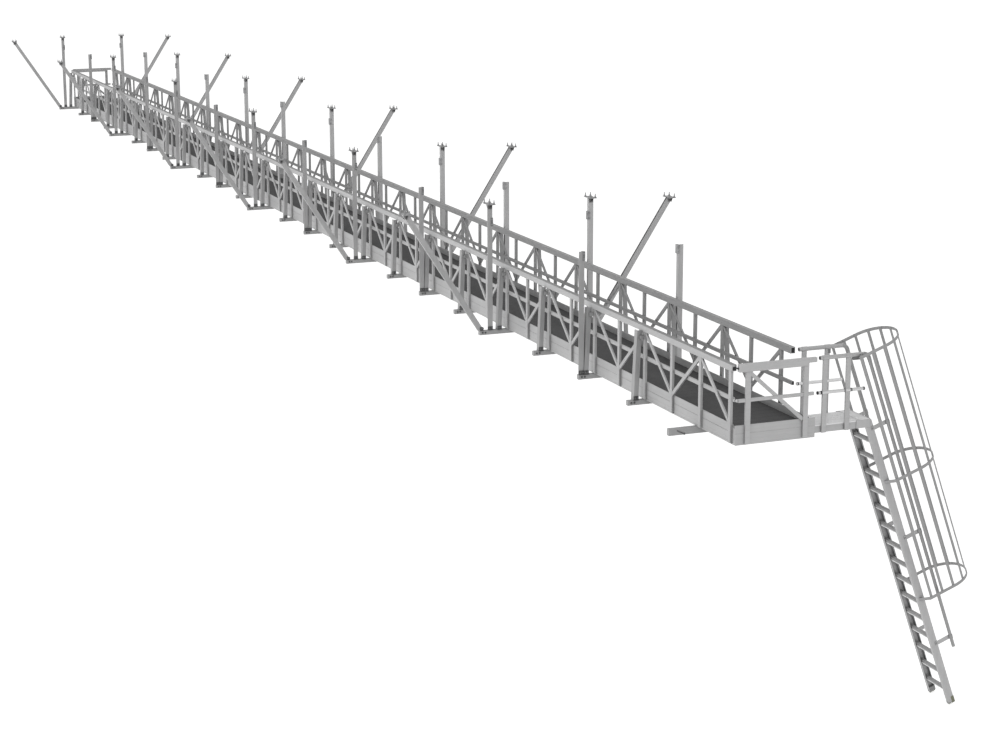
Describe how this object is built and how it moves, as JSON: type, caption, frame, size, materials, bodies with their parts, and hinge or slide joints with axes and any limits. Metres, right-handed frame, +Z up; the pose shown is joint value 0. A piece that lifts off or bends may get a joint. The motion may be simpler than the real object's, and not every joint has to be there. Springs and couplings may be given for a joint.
{
  "type": "1:2 scale model of a suspended gantry platform",
  "caption": "Long truss-sided walkway hung from roof studs by upright and slanting hangers, with a landing and a caged ladder.",
  "frame": {"origin": "centre of the top face of the head plate of the near tall hanger half-way along the walkway", "axes": "+X along the walkway towards the ladder end, +Z up, +Y towards the ladder side"},
  "size_m": [23.5542, 3.074, 3.4484],
  "materials": {
    "beam_aluminium": "mill finish",
    "black_plug": "moulded",
    "cage_aluminium": "satin",
    "deck_grip": "dark anti-slip coating",
    "fascia_aluminium": "mill finish, ribbed",
    "foot_rubber": "moulded",
    "hanger_aluminium": "mill finish",
    "head_steel": "dark zinc",
    "ladder_aluminium": "mill finish",
    "landing_aluminium": "mill finish",
    "plate_steel": "galvanised",
    "railing_aluminium": "mill finish",
    "rung_aluminium": "ribbed",
    "strut_aluminium": "mill finish",
    "truss_aluminium": "mill finish",
    "truss_aluminium_far": "mill finish, shaded"
  },
  "bodies": {
    "root": {"deck": "deck_grip", "deck_joists": "beam_aluminium", "fascia_near": "fascia_aluminium", "fascia_far": "fascia_aluminium", "fascia_ladder_end": "fascia_aluminium", "fascia_blind_end": "fascia_aluminium", "truss_near": "truss_aluminium", "truss_far": "truss_aluminium_far", "end_railing_ladder": "railing_aluminium", "end_railing_blind": "railing_aluminium", "rail_caps": "black_plug", "cross_beams_short": "beam_aluminium", "cross_beams_long": "beam_aluminium", "stub_beam": "beam_aluminium", "struts_near": "strut_aluminium", "struts_far": "strut_aluminium", "columns_short_near": "hanger_aluminium", "columns_short_far": "hanger_aluminium", "columns_tall_near": "hanger_aluminium", "columns_tall_far": "hanger_aluminium", "column_plates": "plate_steel", "braces_near": "hanger_aluminium", "braces_far": "hanger_aluminium", "heads_tall_near": "head_steel", "heads_tall_far": "head_steel", "heads_brace_near": "head_steel", "heads_brace_far": "head_steel", "landing_floor": "landing_aluminium", "landing_frame": "landing_aluminium", "landing_rail_front": "railing_aluminium", "landing_rail_back": "railing_aluminium", "landing_clamps": "black_plug", "ladder_stiles": "ladder_aluminium", "ladder_rungs": "rung_aluminium", "ladder_brackets": "ladder_aluminium", "stile_extensions": "ladder_aluminium", "grab_rail_front": "cage_aluminium", "grab_rail_back": "cage_aluminium", "cage_hoops": "cage_aluminium", "cage_bars": "cage_aluminium", "ladder_feet": "foot_rubber"}
  },
  "joints": []
}
